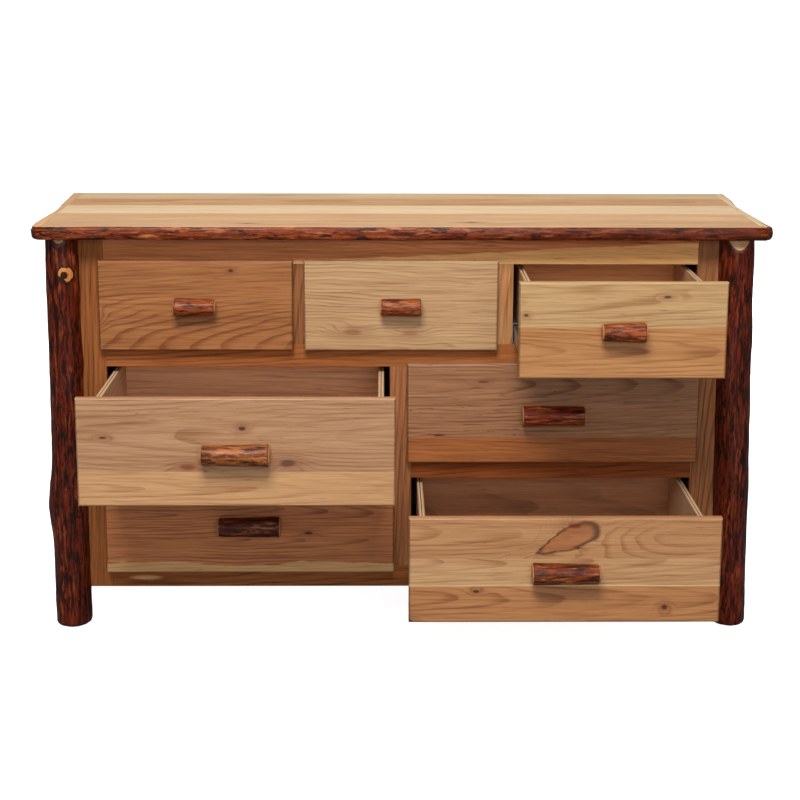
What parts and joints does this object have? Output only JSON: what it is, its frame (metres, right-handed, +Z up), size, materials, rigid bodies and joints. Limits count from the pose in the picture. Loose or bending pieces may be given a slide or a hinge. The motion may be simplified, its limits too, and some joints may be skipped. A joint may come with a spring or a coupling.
{
  "type": "dresser with drawers",
  "caption": "Rustic log dresser: plank top with live bark edges on bark log posts, overlay drawers with log pulls in plywood boxes on ball-bearing slides.",
  "frame": {"origin": "on the floor, at the middle of the dresser's footprint as it stands with three drawers partly open", "axes": "+X to the right along the dresser's width, +Y from the drawer fronts towards the back, +Z up"},
  "size_m": [1.6032, 0.8416, 0.908],
  "materials": {
    "top_planks": "satin clear finish over glued planks",
    "live_edge_bark": "glossy varnish over bark",
    "log_bark": "glossy varnish over bark",
    "frame_pine": "satin clear finish",
    "side_pine": "satin clear finish",
    "inner_pine": "raw sawn wood",
    "front_pine": "satin clear finish",
    "plywood": "satin clear finish on plywood",
    "pull_bark": "glossy varnish over bark",
    "slide_steel": "zinc plated",
    "screw_steel": "zinc plated"
  },
  "bodies": {
    "case": {"top_boards": "top_planks", "top_front_edge": "live_edge_bark", "top_left_edge": "live_edge_bark", "top_right_edge": "live_edge_bark", "front_left_post": "log_bark", "front_right_post": "log_bark", "rear_left_post": "log_bark", "rear_right_post": "log_bark", "left_side_panel": "side_pine", "right_side_panel": "side_pine", "back_panel": "plywood", "left_stile": "frame_pine", "right_stile": "frame_pine", "centre_stile": "frame_pine", "top_dividers": "frame_pine", "top_rail": "frame_pine", "upper_rail": "frame_pine", "middle_rails": "frame_pine", "bottom_rail": "frame_pine", "partitions": "inner_pine", "dust_panels": "plywood", "slide_cleats": "inner_pine", "case_slides": "slide_steel", "top_cleats": "inner_pine", "top_screws": "screw_steel"},
    "top_left_drawer": {"top_left_front": "front_pine", "top_left_box": "plywood", "top_left_pull": "pull_bark", "top_left_runners": "slide_steel"},
    "top_left_slides": {"top_left_mid_slides": "slide_steel"},
    "top_middle_drawer": {"top_middle_front": "front_pine", "top_middle_box": "plywood", "top_middle_pull": "pull_bark", "top_middle_runners": "slide_steel"},
    "top_middle_slides": {"top_middle_mid_slides": "slide_steel"},
    "top_right_drawer": {"top_right_front": "front_pine", "top_right_box": "plywood", "top_right_pull": "pull_bark", "top_right_runners": "slide_steel"},
    "top_right_slides": {"top_right_mid_slides": "slide_steel"},
    "middle_left_drawer": {"middle_left_front": "front_pine", "middle_left_box": "plywood", "middle_left_pull": "pull_bark", "middle_left_runners": "slide_steel"},
    "middle_left_slides": {"middle_left_mid_slides": "slide_steel"},
    "middle_right_drawer": {"middle_right_front": "front_pine", "middle_right_box": "plywood", "middle_right_pull": "pull_bark", "middle_right_runners": "slide_steel"},
    "middle_right_slides": {"middle_right_mid_slides": "slide_steel"},
    "bottom_left_drawer": {"bottom_left_front": "front_pine", "bottom_left_box": "plywood", "bottom_left_pull": "pull_bark", "bottom_left_runners": "slide_steel"},
    "bottom_left_slides": {"bottom_left_mid_slides": "slide_steel"},
    "bottom_right_drawer": {"bottom_right_front": "front_pine", "bottom_right_box": "plywood", "bottom_right_pull": "pull_bark", "bottom_right_runners": "slide_steel"},
    "bottom_right_slides": {"bottom_right_mid_slides": "slide_steel"}
  },
  "joints": [
    {"name": "top_left_drawer_slide", "type": "slide", "parent": "case", "child": "top_left_drawer", "axis": [0, -1, 0], "range_m": [0, 0.4]},
    {"name": "top_left_mid_slide", "type": "slide", "parent": "case", "child": "top_left_slides", "axis": [0, -1, 0], "range_m": [0, 0.2]},
    {"name": "top_middle_drawer_slide", "type": "slide", "parent": "case", "child": "top_middle_drawer", "axis": [0, -1, 0], "range_m": [0, 0.4]},
    {"name": "top_middle_mid_slide", "type": "slide", "parent": "case", "child": "top_middle_slides", "axis": [0, -1, 0], "range_m": [0, 0.2]},
    {"name": "top_right_drawer_slide", "type": "slide", "parent": "case", "child": "top_right_drawer", "axis": [0, -1, 0], "range_m": [-0.248, 0.152]},
    {"name": "top_right_mid_slide", "type": "slide", "parent": "case", "child": "top_right_slides", "axis": [0, -1, 0], "range_m": [-0.124, 0.076]},
    {"name": "middle_left_drawer_slide", "type": "slide", "parent": "case", "child": "middle_left_drawer", "axis": [0, -1, 0], "range_m": [-0.292, 0.108]},
    {"name": "middle_left_mid_slide", "type": "slide", "parent": "case", "child": "middle_left_slides", "axis": [0, -1, 0], "range_m": [-0.146, 0.054]},
    {"name": "middle_right_drawer_slide", "type": "slide", "parent": "case", "child": "middle_right_drawer", "axis": [0, -1, 0], "range_m": [0, 0.4]},
    {"name": "middle_right_mid_slide", "type": "slide", "parent": "case", "child": "middle_right_slides", "axis": [0, -1, 0], "range_m": [0, 0.2]},
    {"name": "bottom_left_drawer_slide", "type": "slide", "parent": "case", "child": "bottom_left_drawer", "axis": [0, -1, 0], "range_m": [0, 0.4]},
    {"name": "bottom_left_mid_slide", "type": "slide", "parent": "case", "child": "bottom_left_slides", "axis": [0, -1, 0], "range_m": [0, 0.2]},
    {"name": "bottom_right_drawer_slide", "type": "slide", "parent": "case", "child": "bottom_right_drawer", "axis": [0, -1, 0], "range_m": [-0.282, 0.118]},
    {"name": "bottom_right_mid_slide", "type": "slide", "parent": "case", "child": "bottom_right_slides", "axis": [0, -1, 0], "range_m": [-0.141, 0.059]}
  ],
  "couplings": [
    {"joint": "top_left_mid_slide", "follows": "top_left_drawer_slide", "ratio": 0.5},
    {"joint": "top_middle_mid_slide", "follows": "top_middle_drawer_slide", "ratio": 0.5},
    {"joint": "top_right_mid_slide", "follows": "top_right_drawer_slide", "ratio": 0.5},
    {"joint": "middle_left_mid_slide", "follows": "middle_left_drawer_slide", "ratio": 0.5},
    {"joint": "middle_right_mid_slide", "follows": "middle_right_drawer_slide", "ratio": 0.5},
    {"joint": "bottom_left_mid_slide", "follows": "bottom_left_drawer_slide", "ratio": 0.5},
    {"joint": "bottom_right_mid_slide", "follows": "bottom_right_drawer_slide", "ratio": 0.5}
  ]
}
